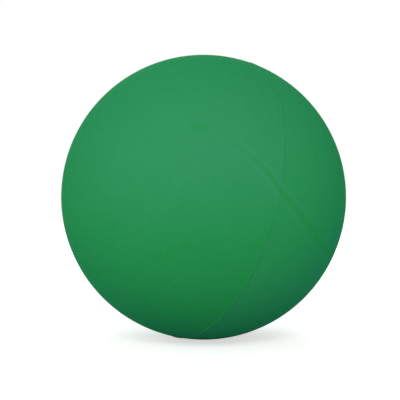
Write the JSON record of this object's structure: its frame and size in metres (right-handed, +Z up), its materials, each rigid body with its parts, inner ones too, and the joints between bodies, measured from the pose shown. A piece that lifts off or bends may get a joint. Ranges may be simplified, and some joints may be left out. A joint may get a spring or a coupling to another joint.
{
  "type": "dodgeball",
  "caption": "Inflated moulded rubber dodgeball with a smooth satin cover, a fine raised parting line and a needle valve set flush in the cover.",
  "frame": {"origin": "centre of the ball", "axes": "+Z up as the ball lies, -Y towards the viewer, +X to the viewer's right; the mould's axis runs from the origin out through the valve"},
  "size_m": [0.216, 0.216, 0.216],
  "materials": {
    "cover_rubber": "satin",
    "butyl_rubber": "matte",
    "nylon_thread": "satin",
    "patch_fabric": "matte",
    "bush_rubber": "satin",
    "plug_rubber": "satin"
  },
  "bodies": {
    "root": {"cover_left_half": "cover_rubber", "cover_right_half": "cover_rubber", "thread_winding": "nylon_thread", "valve_patch": "patch_fabric", "bladder": "butyl_rubber", "valve_bush": "bush_rubber", "valve_plug": "plug_rubber"}
  },
  "joints": []
}
